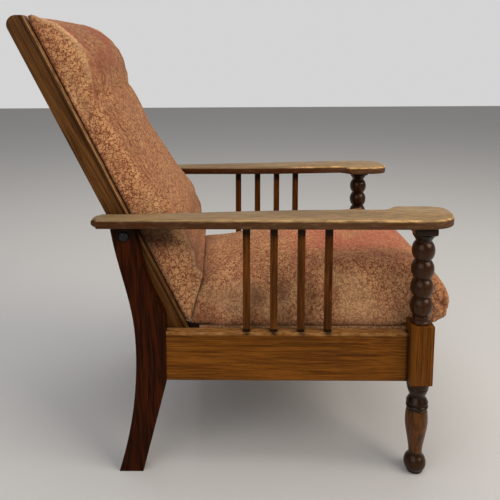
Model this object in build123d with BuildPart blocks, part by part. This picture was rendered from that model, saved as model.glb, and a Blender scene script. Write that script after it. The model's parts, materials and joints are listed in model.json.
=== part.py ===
from build123d import *
from math import cos, radians, sin, tan
import os

os.makedirs("parts", exist_ok=True)

# Oak reclining armchair. Millimetres, +Z up, the chair faces -Y, the sitter's right is -X.
# Each side is one flat frame of leg, rail, spindles and arm, and the two close in a little to the rear.
# The back turns on a coach bolt at the top of each rear leg, and its foot carries the sliding seat.

# Stance
front_axis_spacing = 590.0     # between the two front leg axes
side_splay = 3.5               # degrees that each side turns in to the rear
arm_underside = 565.0
rail_bottom = 216.0
rail_top = 327.0
running_gap = 0.3              # beside faces that slide past each other
soft_gap = 0.3                 # between upholstery and what it rests on
bore_clearance = 0.05          # radial, round a turning pin
overrun = 5.0                  # how far a cutting shape runs past its piece
edge_bevel = 1.8               # softened arris on planed oak

# Turned front legs
leg_stock = 50.0
block_bottom = 214.0
block_top = 350.0
crown_block_height = 17.0
bobbin_count = 4
bobbin_pitch = 41.5
bobbin_dia = 49.0
bobbin_neck_dia = 35.0
bobbin_neck_height = 4.5
ring_dia = 43.0
ring_height = 6.0
cup_dia = 46.0
crown_cup_height = 16.0
lower_cup_height = 30.0
lower_neck_dia = 29.0
lower_neck_height = 5.0
torus_dia = 46.0
torus_height = 18.0
collar_dia = 39.0
collar_height = 7.0
vase_mouth_dia = 42.0
vase_dia = 49.0
vase_shoulder_height = 20.0
ankle_dia = 29.0
foot_ball_dia = 48.0
foot_ball_height = 31.0
leg_pin_dia = 22.0
leg_pin_length = 12.0
cup_rim_share = 0.30           # of a cup's height, its straight rim
# turned curves in a few straight steps: shares of the way up and of the way out
bobbin_shares = [(0.0, 0.0), (0.27, 0.97), (0.73, 0.97), (1.0, 0.0)]
torus_shares = [(0.0, 0.5), (0.45, 1.0), (1.0, 0.0)]
cup_shares = [(0.0, 0.0), (1.0, 1.0)]
vase_shares = [(0.0, 0.0), (0.50, 0.34), (1.0, 1.0)]
foot_shares = [(0.0, 0.35), (0.25, 0.95), (0.62, 0.95), (1.0, 0.0)]

# Sabre rear legs, placed by their distance behind the front leg axis
rear_leg_thickness = 30.0
rear_leg_setback = 12.0        # its face behind the face of the front block
rear_leg_front = 551.0
rear_leg_waist = 65.5
rear_leg_waist_height = 265.0
rear_leg_top_front = 614.5
rear_leg_top_width = 50.0
rear_leg_foot_front = 607.0
rear_leg_foot_width = 53.5
rear_leg_shoulder_height = 342.0
rear_edge_low_shares = (0.227, 0.547)
rear_edge_high_shares = [(0.115, 0.33), (0.63, 0.70)]
front_edge_shares = [(0.11, 0.157), (0.384, 0.321), (0.657, 0.527)]

# Side rails and their joints
rail_thickness = 24.0
rail_setback = 16.0
tenon_thickness = 9.0
tenon_length = 22.0
tenon_shoulder = 14.0
stub_tenon_length = 9.0
top_tenon_width = 30.0
top_tenon_height = 10.0

# Arms
arm_thickness = 21.0
arm_overhang = 8.0             # outside the face of the front block
arm_rear = 702.0
arm_front = 68.0
arm_rear_width = 45.0
arm_lean_width = 61.0
arm_lean_place = 470.0
arm_mid_width = 78.0
arm_mid_place = 300.0
arm_width = 86.0
arm_paddle_width = 114.0
arm_step_rear = 82.0
arm_step_front = 34.0
arm_outer_corner = 86.0
arm_inner_corner = 46.0
arm_inner_corner_width = 38.0
arm_nose_width = 14.0          # straight part of its front edge
arm_rear_corner = 13.0

# Spindles
spindle_count = 4
spindle_first = 200.4
spindle_spacing = 58.7
spindle_width = 16.0
spindle_thickness = 12.0
spindle_seat_depth = 10.0

# Cross rails of the fixed frame
front_rail_height = 68.0
cross_rail_thickness = 22.0

# Pivot of the back, and its coach bolt
pivot_behind = 635.0           # behind the front leg axis
pivot_below_arm = 22.0         # below the underside of the arm
bolt_dia = 10.0
bolt_head_dia = 22.0
bolt_head_height = 7.5
bolt_end = 3.0                 # beyond its nut
dome_shares = [(0.45, 0.90), (0.86, 0.50), (1.0, 0.0)]    # of the head's radius and of its height
washer_dia = 26.0
nut_across_flats = 17.0
nut_thickness = 7.0
spot_face_clearance = 0.5      # round the head and the washer
spot_face_depth = 0.6          # below the lowest side of the sloping face

# Back frame
back_lean = 25.4               # degrees from upright
back_half_width = 236.0
stile_top = 1004.0
stile_depth = 42.0
stile_thickness = 26.0
stile_top_round = 20.0
stile_front_round = 5.0
stile_below_screw = 17.0
bead_width = 2.5
bead_depth = 2.0
bead_inset = 6.0
back_rail_thickness = 22.0
top_rail_height = 52.0
top_rail_below_head = 58.0     # middle of the rail, along the stile
middle_rail_height = 44.0
middle_rail_place = 150.0      # middle of the rail above the pivot, along the stile
bottom_rail_height = 40.0
bottom_rail_above_hinge = 65.0
web_width = 50.0
web_thickness = 1.6
back_web_count = 4
back_web_places = (-110.0, -45.0, 60.0, 230.0, 300.0, 370.0)
lining_thickness = 1.5

# Hinge between the foot of the back and the seat
hinge_above_runner = 18.0      # height of the hinge screw above the runners
hinge_screw_dia = 9.0
hinge_screw_depth = 18.0       # in the stile
hinge_head_dia = 17.0
hinge_head_height = 4.5
hinge_leaf_thickness = 4.0
hinge_leaf_height = 27.0
hinge_leaf_width = 48.0
hinge_leaf_bevel = 7.0         # cut corners of the leaf round the screw

# Sliding seat frame, and the runners that carry it
runner_top = 290.0
runner_thickness = 26.0
runner_height = 26.0
runner_front_gap = 4.0         # behind the front block
runner_rear = 440.0
seat_frame_height = 35.0
seat_frame_front = 38.0        # in front of the front leg axis
seat_frame_rear = 480.0
seat_side_gap = 3.0            # from the inside of the front legs
seat_rail_thickness = 25.0
seat_web_count = 5
seat_web_cross_count = 5
seat_web_height = 8.0          # above the underside of the seat frame

# Seat cushion
seat_pad_inset = 2.0           # inside the outer face of the seat frame
seat_pad_reach = 80.5          # front roll, in front of the front leg axis
seat_pad_rear = 500.0
seat_pad_back_tilt = 15.0      # degrees that its rear face leans forward
seat_pad_edge = 140.0          # fullest height of the side border
seat_pad_crown = 158.0         # fullest height in the middle
seat_pad_swell = 3.0           # how far its sides swell between bottom and top
seat_pad_draw = 7.0            # how far the top edge is drawn in
seat_pad_waist_share = 0.985   # of its width, half way between front and rear
# place behind the leg axis as a share of the seat's rear, border height share, crown height share
seat_pad_rear_shares = (0.575, 0.67)
seat_pad_shares = [
    (0.816, 0.62, 0.80),
    (0.600, 0.75, 0.915),
    (0.348, 0.85, 0.98),
    (0.120, 0.975, 1.0),
    (0.000, 0.99, 0.965),
]
# place in front of the leg axis as a share of the roll's reach, underside, border, crown and width shares
seat_roll_shares = [
    (0.370, 0.000, 0.905, 0.865, 1.000),
    (0.650, 0.025, 0.735, 0.725, 1.000),
    (0.835, 0.110, 0.640, 0.625, 0.992),
    (0.955, 0.235, 0.535, 0.515, 0.978),
    (1.000, 0.335, 0.460, 0.420, 0.960),
]

# Back cushion
back_pad_inset = 9.0           # inside the outer face of the stile
back_pad_above_hinge = 6.0     # foot of the pad, along the stile
back_pad_below_head = 10.0
back_pad_edge = 88.0           # fullest thickness of the side border
back_pad_crown = 95.0          # fullest thickness in the middle
back_pad_swell = 4.0
back_pad_draw = 7.0
# place along the pad from its foot, border thickness share, crown thickness share
back_pad_shares = [
    (0.000, 0.035, 0.06),
    (0.044, 0.32, 0.335),
    (0.107, 0.75, 0.76),
    (0.190, 0.98, 0.97),
    (0.270, 0.98, 1.00),
    (0.360, 0.80, 0.88),
    (0.560, 0.62, 0.72),
    (0.720, 0.61, 0.76),
    (0.810, 0.80, 0.90),
    (0.885, 0.82, 0.955),
    (0.945, 0.60, 0.71),
    (0.980, 0.30, 0.36),
    (1.000, 0.07, 0.10),
]

splay = radians(side_splay)
lean = radians(back_lean)
leg_half = front_axis_spacing / 2
half_stock = leg_stock / 2
rail_height = rail_top - rail_bottom
rail_mid_height = (rail_top + rail_bottom) / 2
tenon_height = rail_height - 2 * tenon_shoulder

# The chair's box is centred on the origin, from the front roll of the seat to the top of the back.
pivot_height = arm_underside - pivot_below_arm
back_reach = (
    pivot_behind + (stile_top - stile_top_round - pivot_height) * tan(lean)
    + (stile_depth / 2 - stile_top_round) / cos(lean) + stile_top_round
)
leg_y = -(back_reach - seat_pad_reach) / 2
pivot_y = leg_y + pivot_behind
hinge_z = runner_top + hinge_above_runner
hinge_drop = pivot_height - hinge_z
hinge_along = hinge_drop / cos(lean)
hinge_y = pivot_y - hinge_drop * tan(lean)
head_along = (stile_top - pivot_height) / cos(lean)
top_rail_place = head_along - top_rail_below_head
bottom_rail_place = bottom_rail_above_hinge - hinge_along
back_pad_bottom = back_pad_above_hinge - hinge_along
back_pad_top = head_along - back_pad_below_head

# Insets from the leg axis line, towards the middle of the chair
rail_outside = rail_setback - half_stock
rail_inside = rail_outside + rail_thickness
rail_middle = (rail_outside + rail_inside) / 2
rear_leg_outside = rear_leg_setback - half_stock
rear_leg_inside = rear_leg_outside + rear_leg_thickness
arm_outside = -(half_stock + arm_overhang)
seat_outside = half_stock + seat_side_gap
seat_inside = seat_outside + seat_rail_thickness
seat_bottom = runner_top + running_gap
seat_top = seat_bottom + seat_frame_height

# Right-hand side frame: X runs rearwards along the side, Y up, and the normal points inwards.
side = Plane(origin=(-leg_half, leg_y, 0), x_dir=(sin(splay), cos(splay), 0),
             z_dir=(cos(splay), -sin(splay), 0))
# The same side in plan: X runs rearwards, Y outwards, and the normal points up.
plan = Plane(origin=(-leg_half, leg_y, 0), x_dir=(sin(splay), cos(splay), 0), z_dir=(0, 0, 1))
# Face of the turned leg, for its half profile.
leg_face = Plane(origin=(-leg_half, leg_y, 0), x_dir=(1, 0, 0), z_dir=(0, -1, 0))
# Back frame: Y runs up the stiles from the pivot, and the normal points forwards.
back = Plane(origin=(0, pivot_y, pivot_height), x_dir=(1, 0, 0), z_dir=(0, -cos(lean), sin(lean)))
# Outer face of the right stile: X runs up the stile, Y forwards, and the normal points inwards.
stile_face = Plane(origin=(-back_half_width, pivot_y, pivot_height),
                   x_dir=(0, sin(lean), cos(lean)), z_dir=(1, 0, 0))


def write(piece, name):
    piece.label = name
    export_step(piece, f"parts/{name}.step")


def write_pair(right, name):
    with BuildPart() as left:
        mirror(right, about=Plane.YZ)
    write(right, f"{name}_right")
    write(left.part, f"{name}_left")


def half_width(behind, inset):
    along = (behind + inset * sin(splay)) / cos(splay)
    return leg_half - along * sin(splay) - inset * cos(splay)


def cross_outline(front, rear, inset):
    wide = half_width(front, inset)
    narrow = half_width(rear, inset)
    return [(-wide, leg_y + front), (wide, leg_y + front), (narrow, leg_y + rear), (-narrow, leg_y + rear)]


def soft_section(plane, half, low, edge, crown, swell, draw):
    """One closed section of a cushion: flat under, swelling at the sides, crowned above."""
    with BuildSketch(plane) as section:
        with BuildLine():
            middle = (low + edge) / 2
            Polyline((-half + draw, edge), (-half - swell, middle), (-half, low), (half, low),
                     (half + swell, middle), (half - draw, edge))
            ThreePointArc((half - draw, edge), (0, crown), (-half + draw, edge))
        make_face()
    return section.sketch


# Front leg: turned from square stock, with the square left at the rail and under the arm
crown_bottom = arm_underside - crown_block_height
bobbins_top = crown_bottom - crown_cup_height
bobbins_bottom = bobbins_top - bobbin_count * bobbin_pitch
ring_top = block_top + ring_height
lower_cup_bottom = block_bottom - lower_cup_height
torus_top = lower_cup_bottom - lower_neck_height
torus_bottom = torus_top - torus_height
collar_bottom = torus_bottom - collar_height
vase_shoulder = collar_bottom - vase_shoulder_height
crown_rim = crown_bottom - crown_cup_height * cup_rim_share
lower_rim = block_bottom - lower_cup_height * cup_rim_share
bobbin_r = bobbin_dia / 2
bobbin_neck_r = bobbin_neck_dia / 2
cup_r = cup_dia / 2
neck_r = lower_neck_dia / 2
ankle_r = ankle_dia / 2
vase_r = vase_dia / 2
vase_mouth_r = vase_mouth_dia / 2
collar_r = collar_dia / 2
ring_r = ring_dia / 2
pin_r = leg_pin_dia / 2
pin_top = arm_underside + leg_pin_length


def turned(shares, inner, outer, low, high):
    """Points of a turned curve from its shares of the way up and of the way out."""
    return [(inner + (outer - inner) * out, low + (high - low) * up) for up, out in shares]


profile = [(0, 0)]
profile += turned(foot_shares, ankle_r, foot_ball_dia / 2, 0, foot_ball_height)
profile += turned(vase_shares, ankle_r, vase_r, foot_ball_height, vase_shoulder)[1:]
profile += [(vase_mouth_r, collar_bottom), (collar_r, collar_bottom), (collar_r, torus_bottom)]
profile += turned(torus_shares, neck_r, torus_dia / 2, torus_bottom, torus_top)
profile += turned(cup_shares, neck_r, cup_r, lower_cup_bottom, lower_rim)
profile += [(cup_r, block_bottom), (bobbin_neck_r, block_bottom), (bobbin_neck_r, block_top)]
profile += [(ring_r, block_top), (ring_r, ring_top), (bobbin_neck_r, bobbins_bottom)]
for k in range(bobbin_count):
    start = bobbins_bottom + k * bobbin_pitch + bobbin_neck_height / 2
    end = start + bobbin_pitch - bobbin_neck_height
    profile += turned(bobbin_shares, bobbin_neck_r, bobbin_r, start, end)
profile += turned(cup_shares, bobbin_neck_r, cup_r, bobbins_top, crown_rim)
profile += [(cup_r, arm_underside), (pin_r, arm_underside), (pin_r, pin_top), (0, pin_top)]

with BuildPart() as front_leg:
    with BuildSketch(leg_face):
        Polygon(*profile, align=None)
    revolve(axis=Axis((-leg_half, leg_y, 0), (0, 0, 1)))
    with BuildSketch(plan.offset(block_bottom)):
        Rectangle(leg_stock, leg_stock)
        chamfer(vertices(), edge_bevel)
    extrude(amount=block_top - block_bottom)
    with BuildSketch(plan.offset(crown_bottom)):
        Rectangle(leg_stock, leg_stock)
        chamfer(vertices(), edge_bevel)
    extrude(amount=crown_block_height)
    # mortises for the side rail and for the front cross rail
    with BuildSketch(side.offset(rail_middle - tenon_thickness / 2)):
        with Locations((half_stock - tenon_length / 2, rail_mid_height)):
            Rectangle(tenon_length, tenon_height)
    extrude(amount=tenon_thickness, mode=Mode.SUBTRACT)
    with BuildSketch(plan.offset(runner_top - front_rail_height + tenon_shoulder)):
        with Locations((0, -half_stock + stub_tenon_length / 2)):
            Rectangle(tenon_thickness, stub_tenon_length)
    extrude(amount=front_rail_height - 2 * tenon_shoulder, mode=Mode.SUBTRACT)
write_pair(front_leg.part, "front_leg")

# Rear leg: sawn from the plank in a sabre curve, straight where the rail meets it
waist_rear = rear_leg_front + rear_leg_waist
foot_rear = rear_leg_foot_front + rear_leg_foot_width
top_rear = rear_leg_top_front + rear_leg_top_width
rear_edge_low = (
    waist_rear + (foot_rear - waist_rear) * rear_edge_low_shares[0],
    rear_leg_waist_height * rear_edge_low_shares[1],
)
rear_edge_high = [
    (waist_rear + (top_rear - waist_rear) * across,
     rear_leg_waist_height + (arm_underside - rear_leg_waist_height) * up)
    for across, up in rear_edge_high_shares
]
front_edge = [
    (rear_leg_front + (rear_leg_top_front - rear_leg_front) * across,
     rear_leg_shoulder_height + (arm_underside - rear_leg_shoulder_height) * up)
    for across, up in front_edge_shares
]
rear_rail_front = (
    pivot_behind - (pivot_height - rail_top) * tan(lean) + stile_depth / 2 / cos(lean) + running_gap
)
# The bolt lies square to the chair's middle plane, so a level seat is faced for it on each side.
head_seat_slope = (bolt_head_dia / 2 + spot_face_clearance) * tan(splay) + spot_face_depth
washer_seat_slope = (washer_dia / 2 + spot_face_clearance) * tan(splay) + spot_face_depth
head_seat_x = -half_width(pivot_behind, rear_leg_outside) + head_seat_slope
washer_seat_x = -half_width(pivot_behind, rear_leg_inside) - washer_seat_slope
stile_outer_x = -back_half_width
stile_inner_x = stile_outer_x + stile_thickness
washer_inner_x = stile_outer_x - running_gap
nut_outer_x = stile_inner_x + running_gap
bolt_plane = Plane(origin=(0, pivot_y, pivot_height), x_dir=(0, 1, 0), z_dir=(1, 0, 0))
hinge_plane = Plane(origin=(0, hinge_y, hinge_z), x_dir=(0, 1, 0), z_dir=(1, 0, 0))

rear_tenon_place = ((rear_leg_top_front + top_rear) / 2, -(rear_leg_outside + rear_leg_inside) / 2)

with BuildPart() as rear_leg:
    with BuildSketch(side.offset(rear_leg_outside)):
        with BuildLine():
            Line((rear_leg_foot_front, 0), (foot_rear, 0))
            Spline((foot_rear, 0), rear_edge_low, (waist_rear, rear_leg_waist_height), *rear_edge_high,
                   (top_rear, arm_underside))
            Line((top_rear, arm_underside), (rear_leg_top_front, arm_underside))
            Spline((rear_leg_top_front, arm_underside), *reversed(front_edge),
                   (rear_leg_front, rear_leg_shoulder_height), tangents=((-1, -overrun), (0, -1)))
            Polyline((rear_leg_front, rear_leg_shoulder_height), (rear_leg_front, rail_bottom),
                     (rear_leg_foot_front, 0))
        make_face()
    extrude(amount=rear_leg_thickness)
    chamfer(rear_leg.edges().filter_by(GeomType.LINE).filter_by(lambda e: e.length > rear_leg_foot_width * 2),
            edge_bevel)
    # mortises for the side rail and the rear cross rail
    with BuildSketch(side.offset(rail_middle - tenon_thickness / 2)):
        with Locations((rear_leg_front + tenon_length / 2, rail_mid_height)):
            Rectangle(tenon_length, tenon_height)
    extrude(amount=tenon_thickness, mode=Mode.SUBTRACT)
    # bore and level seats for the coach bolt
    with BuildSketch(bolt_plane.offset(head_seat_x - overrun)):
        Circle(bolt_dia / 2 + bore_clearance)
    extrude(amount=rear_leg_thickness + 2 * overrun, mode=Mode.SUBTRACT)
    with BuildSketch(bolt_plane.offset(head_seat_x - overrun)):
        Circle(bolt_head_dia / 2 + spot_face_clearance)
    extrude(amount=overrun, mode=Mode.SUBTRACT)
    with BuildSketch(bolt_plane.offset(washer_seat_x)):
        Circle(washer_dia / 2 + spot_face_clearance)
    extrude(amount=overrun, mode=Mode.SUBTRACT)
    # stub tenon for the arm
    with BuildSketch(plan.offset(arm_underside)):
        with Locations(rear_tenon_place):
            Rectangle(top_tenon_width, tenon_thickness)
    extrude(amount=top_tenon_height)
write_pair(rear_leg.part, "rear_leg")

# Side rail, tenoned into both legs
rail_front = half_stock
with BuildPart() as side_rail:
    with BuildSketch(side.offset(rail_outside)):
        with Locations(((rail_front + rear_leg_front) / 2, rail_mid_height)):
            Rectangle(rear_leg_front - rail_front, rail_height)
    extrude(amount=rail_thickness)
    along = side_rail.edges().filter_by(lambda e: e.length > rail_height * 2)
    chamfer(along, edge_bevel)
    with BuildSketch(side.offset(rail_middle - tenon_thickness / 2)):
        with Locations(((rail_front + rear_leg_front) / 2, rail_mid_height)):
            Rectangle(rear_leg_front - rail_front + 2 * tenon_length, tenon_height)
    extrude(amount=tenon_thickness)
    # mortises for the feet of the spindles
    with BuildSketch(plan.offset(rail_top - spindle_seat_depth)):
        for k in range(spindle_count):
            with Locations((spindle_first + k * spindle_spacing, -rail_middle)):
                Rectangle(spindle_width, spindle_thickness)
    extrude(amount=spindle_seat_depth + overrun, mode=Mode.SUBTRACT)
write_pair(side_rail.part, "side_rail")

# Spindles: square bars let into the rail and into the arm
spindle_bottom = rail_top - spindle_seat_depth
spindle_length = arm_underside + spindle_seat_depth - spindle_bottom
for k in range(spindle_count):
    with BuildPart() as spindle:
        with BuildSketch(plan.offset(spindle_bottom)):
            with Locations((spindle_first + k * spindle_spacing, -rail_middle)):
                Rectangle(spindle_width, spindle_thickness)
        extrude(amount=spindle_length)
    write_pair(spindle.part, f"spindle_{k + 1}")

# Arm: a board that widens from its rear end, with an ogee step to a rounded paddle in front
outer = -arm_outside
with BuildPart() as arm:
    with BuildSketch(plan.offset(arm_underside)):
        with BuildLine():
            rear_outer = (arm_rear - arm_rear_corner, outer)
            rear_inner = (arm_rear - arm_rear_corner, outer - arm_rear_width)
            front_outer = (arm_outer_corner - arm_front, outer)
            inner_tip = (-arm_front, outer - arm_paddle_width + arm_inner_corner_width)
            front_tip = (-arm_front, outer - arm_paddle_width + arm_inner_corner_width + arm_nose_width)
            inner_side = (arm_inner_corner - arm_front, outer - arm_paddle_width)
            step_front = (arm_step_front, outer - arm_paddle_width)
            step_rear = (arm_step_rear, outer - arm_width)
            Line(rear_outer, front_outer)
            Spline(front_outer, front_tip, tangents=((-1, 0), (0, -1)))
            Line(front_tip, inner_tip)
            Spline(inner_tip, inner_side, tangents=((0, -1), (1, 0)))
            Line(inner_side, step_front)
            Spline(step_front, step_rear, tangents=((1, 0), (1, 0)))
            Spline(step_rear, (arm_mid_place, outer - arm_mid_width),
                   (arm_lean_place, outer - arm_lean_width), rear_inner, tangents=((1, 0), (1, 0)))
            RadiusArc(rear_inner, (arm_rear, outer - arm_rear_width + arm_rear_corner), arm_rear_corner)
            Line((arm_rear, outer - arm_rear_width + arm_rear_corner), (arm_rear, outer - arm_rear_corner))
            RadiusArc((arm_rear, outer - arm_rear_corner), rear_outer, arm_rear_corner)
        make_face()
    extrude(amount=arm_thickness)
    # sockets for the turned leg, the rear leg and the spindles
    with BuildSketch(plan.offset(arm_underside)):
        Circle(pin_r)
    extrude(amount=leg_pin_length, mode=Mode.SUBTRACT)
    with BuildSketch(plan.offset(arm_underside)):
        with Locations(rear_tenon_place):
            Rectangle(top_tenon_width, tenon_thickness)
    extrude(amount=top_tenon_height, mode=Mode.SUBTRACT)
    with BuildSketch(plan.offset(arm_underside)):
        for k in range(spindle_count):
            with Locations((spindle_first + k * spindle_spacing, -rail_middle)):
                Rectangle(spindle_width, spindle_thickness)
    extrude(amount=spindle_seat_depth, mode=Mode.SUBTRACT)
write_pair(arm.part, "arm")

# Front cross rail, below the sliding seat
front_rail_bottom = runner_top - front_rail_height
with BuildPart() as front_rail:
    with BuildSketch(Plane.XY.offset(front_rail_bottom)):
        Polygon(*cross_outline(-cross_rail_thickness / 2, cross_rail_thickness / 2, half_stock), align=None)
    extrude(amount=front_rail_height)
    chamfer(front_rail.edges().filter_by(lambda e: e.length > front_axis_spacing / 2), edge_bevel)
    with BuildSketch(plan.offset(front_rail_bottom + tenon_shoulder)):
        with Locations((0, -half_stock)):
            Rectangle(tenon_thickness, 2 * stub_tenon_length)
    extrude(amount=front_rail_height - 2 * tenon_shoulder)
    mirror(about=Plane.YZ)
write(front_rail.part, "front_rail")

# Rear cross rail, between the rear legs: the foot of the back stops against it
with BuildPart() as rear_rail:
    with BuildSketch(Plane.XY.offset(rail_bottom)):
        Polygon(*cross_outline(rear_rail_front, rear_rail_front + cross_rail_thickness, rear_leg_inside),
                align=None)
    extrude(amount=rail_height)
    chamfer(rear_rail.edges().filter_by(lambda e: e.length > front_axis_spacing / 2), edge_bevel)
write(rear_rail.part, "rear_rail")

# Runners screwed inside the side rails, for the seat to slide on
with BuildPart() as runner:
    with BuildSketch(plan.offset(runner_top - runner_height)):
        with Locations(((half_stock + runner_front_gap + runner_rear) / 2, -rail_inside - runner_thickness / 2)):
            Rectangle(runner_rear - half_stock - runner_front_gap, runner_thickness)
    extrude(amount=runner_height)
    chamfer(runner.edges().filter_by(lambda e: e.length > runner_rear / 2), edge_bevel)
write_pair(runner.part, "seat_runner")

# Coach bolt that the back turns on, with its washer and nut
nut_inner_x = nut_outer_x + nut_thickness
bolt_r = bolt_dia / 2
bolt_head_r = bolt_head_dia / 2
pivot_face = Plane(origin=(0, pivot_y, pivot_height), x_dir=(1, 0, 0), z_dir=(0, -1, 0))
pivot_axis = Axis((0, pivot_y, pivot_height), (1, 0, 0))
bolt_profile = [(head_seat_x - bolt_head_height, 0)]
bolt_profile += [(head_seat_x - bolt_head_height * up, bolt_head_r * out) for out, up in dome_shares]
bolt_profile += [(head_seat_x, bolt_r), (nut_inner_x + bolt_end, bolt_r), (nut_inner_x + bolt_end, 0)]
with BuildPart() as pivot_bolts:
    with BuildSketch(pivot_face):
        Polygon(*bolt_profile, align=None)
    revolve(axis=pivot_axis)
    mirror(about=Plane.YZ)
write(pivot_bolts.part, "pivot_bolts")

with BuildPart() as pivot_washers:
    with BuildSketch(bolt_plane.offset(washer_seat_x)):
        Circle(washer_dia / 2)
        Circle(bolt_r + bore_clearance, mode=Mode.SUBTRACT)
    extrude(amount=washer_inner_x - washer_seat_x)
    mirror(about=Plane.YZ)
write(pivot_washers.part, "pivot_washers")

with BuildPart() as pivot_nuts:
    with BuildSketch(bolt_plane.offset(nut_outer_x)):
        RegularPolygon(nut_across_flats / 2, 6, major_radius=False)
        Circle(bolt_r + bore_clearance, mode=Mode.SUBTRACT)
    extrude(amount=nut_thickness)
    mirror(about=Plane.YZ)
write(pivot_nuts.part, "pivot_nuts")

# Back stiles, leaning back, with a rounded head and a scratched bead along the front edge
half_depth = stile_depth / 2
half_inside = -stile_inner_x
foot_along = -(hinge_along + stile_below_screw)
head_front = head_along - half_depth * tan(lean)
head_rear = head_along + half_depth * tan(lean)
hinge_screw_r = hinge_screw_dia / 2
back_rails = {
    "back_top_rail": (top_rail_place, top_rail_height),
    "back_middle_rail": (middle_rail_place, middle_rail_height),
    "back_bottom_rail": (bottom_rail_place, bottom_rail_height),
}
with BuildPart() as stile:
    with BuildSketch(stile_face):
        Polygon((foot_along, -half_depth), (foot_along, half_depth), (head_front, half_depth),
                (head_rear, -half_depth), align=None)
        fillet(vertices().sort_by(Axis.X)[-1], stile_top_round)
        fillet(vertices().group_by(Axis.Y)[-1], stile_front_round)
    extrude(amount=stile_thickness)
    chamfer(stile.edges().filter_by(lambda e: e.length > stile_top / 2), edge_bevel)
    # bead
    with BuildSketch(stile_face):
        with Locations(((foot_along + head_rear) / 2, half_depth - bead_inset - bead_width / 2)):
            Rectangle(head_rear - foot_along, bead_width)
    extrude(amount=bead_depth, mode=Mode.SUBTRACT)
    # bore for the coach bolt, and a blind one for the screw at the foot
    with BuildSketch(stile_face):
        Circle(bolt_r + bore_clearance)
    extrude(amount=stile_thickness, mode=Mode.SUBTRACT)
    with BuildSketch(stile_face.offset(stile_thickness - hinge_screw_depth)):
        with Locations((-hinge_along, 0)):
            Circle(hinge_screw_r)
    extrude(amount=hinge_screw_depth, mode=Mode.SUBTRACT)
    # mortises for the cross rails
    with BuildSketch(stile_face.offset(stile_thickness - stub_tenon_length)):
        for place, height in back_rails.values():
            with Locations((place, 0)):
                Rectangle(height - tenon_shoulder, tenon_thickness)
    extrude(amount=stub_tenon_length, mode=Mode.SUBTRACT)
write_pair(stile.part, "back_stile")

for name, (place, height) in back_rails.items():
    with BuildPart() as back_rail:
        with BuildSketch(back.offset(-back_rail_thickness / 2)):
            with Locations((0, place)):
                Rectangle(2 * half_inside, height)
        extrude(amount=back_rail_thickness)
        chamfer(back_rail.edges().filter_by(Axis.X), edge_bevel)
        with BuildSketch(back.offset(-tenon_thickness / 2)):
            with Locations((0, place)):
                Rectangle(2 * (half_inside + stub_tenon_length), height - tenon_shoulder)
        extrude(amount=tenon_thickness)
    write(back_rail.part, name)

# Webbing across the back, and the lining cloth behind it
web_low = bottom_rail_place - bottom_rail_height / 2
web_high = top_rail_place + top_rail_height / 2
back_web_spacing = 2 * half_inside / (back_web_count + 1)
with BuildPart() as back_webbing:
    with BuildSketch(back.offset(back_rail_thickness / 2)):
        with Locations((0, (web_low + web_high) / 2)):
            with GridLocations(back_web_spacing, 0, back_web_count, 1):
                Rectangle(web_width, web_high - web_low - 2 * overrun)
        for place in back_web_places:
            with Locations((0, place)):
                Rectangle(2 * half_inside, web_width)
    extrude(amount=web_thickness)
write(back_webbing.part, "back_webbing")

with BuildPart() as back_lining:
    with BuildSketch(back.offset(-back_rail_thickness / 2 - lining_thickness)):
        with Locations((0, (web_low + web_high) / 2)):
            Rectangle(2 * half_inside, web_high - web_low - bottom_rail_height)
    extrude(amount=lining_thickness)
write(back_lining.part, "back_lining")

# Back cushion: a pad that is thin at its foot, full at the loins and full again at the head
back_pad_half = back_half_width - back_pad_inset
back_pad_low = half_depth + soft_gap
back_pad_length = back_pad_top - back_pad_bottom
with BuildPart() as back_cushion:
    for place, border, middle in back_pad_shares:
        along = back_pad_bottom + back_pad_length * place
        level = Plane(origin=back.from_local_coords((0, along, 0)), x_dir=(-1, 0, 0), z_dir=back.y_dir)
        add(soft_section(level, back_pad_half, back_pad_low, back_pad_low + border * back_pad_edge,
                         back_pad_low + middle * back_pad_crown, back_pad_swell, back_pad_draw))
    loft(ruled=True)
write(back_cushion.part, "back_cushion")

# Shouldered screws that join the foot of each stile to the seat
leaf_outer_x = stile_inner_x + running_gap
leaf_inner_x = leaf_outer_x + hinge_leaf_thickness
screw_head_x = leaf_inner_x + running_gap
with BuildPart() as hinge_screws:
    with BuildSketch(hinge_plane.offset(stile_inner_x - hinge_screw_depth)):
        Circle(hinge_screw_r)
    extrude(amount=screw_head_x - stile_inner_x + hinge_screw_depth)
    with BuildSketch(hinge_plane.offset(screw_head_x)):
        Circle(hinge_head_dia / 2)
    extrude(amount=hinge_head_height)
    mirror(about=Plane.YZ)
write(hinge_screws.part, "hinge_screws")

# Angle bracket on the rear of the seat frame, which the pin turns in
seat_rear_y = leg_y + seat_frame_rear
leaf_length = hinge_y + hinge_leaf_height / 2 - seat_rear_y
with BuildPart() as hinge_bracket:
    with BuildSketch(hinge_plane.offset(leaf_outer_x)):
        with Locations((hinge_leaf_height / 2 - leaf_length / 2, 0)):
            Rectangle(leaf_length, hinge_leaf_height)
        chamfer(vertices().group_by(Axis.X)[-1], hinge_leaf_bevel)
    extrude(amount=hinge_leaf_thickness)
    with BuildSketch(Plane.XY.offset(hinge_z - hinge_leaf_height / 2)):
        with Locations((leaf_outer_x + hinge_leaf_width / 2, seat_rear_y + hinge_leaf_thickness / 2)):
            Rectangle(hinge_leaf_width, hinge_leaf_thickness)
    extrude(amount=hinge_leaf_height)
    with BuildSketch(hinge_plane.offset(leaf_outer_x)):
        Circle(hinge_screw_r + bore_clearance)
    extrude(amount=hinge_leaf_thickness, mode=Mode.SUBTRACT)
write_pair(hinge_bracket.part, "hinge_bracket")

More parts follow.
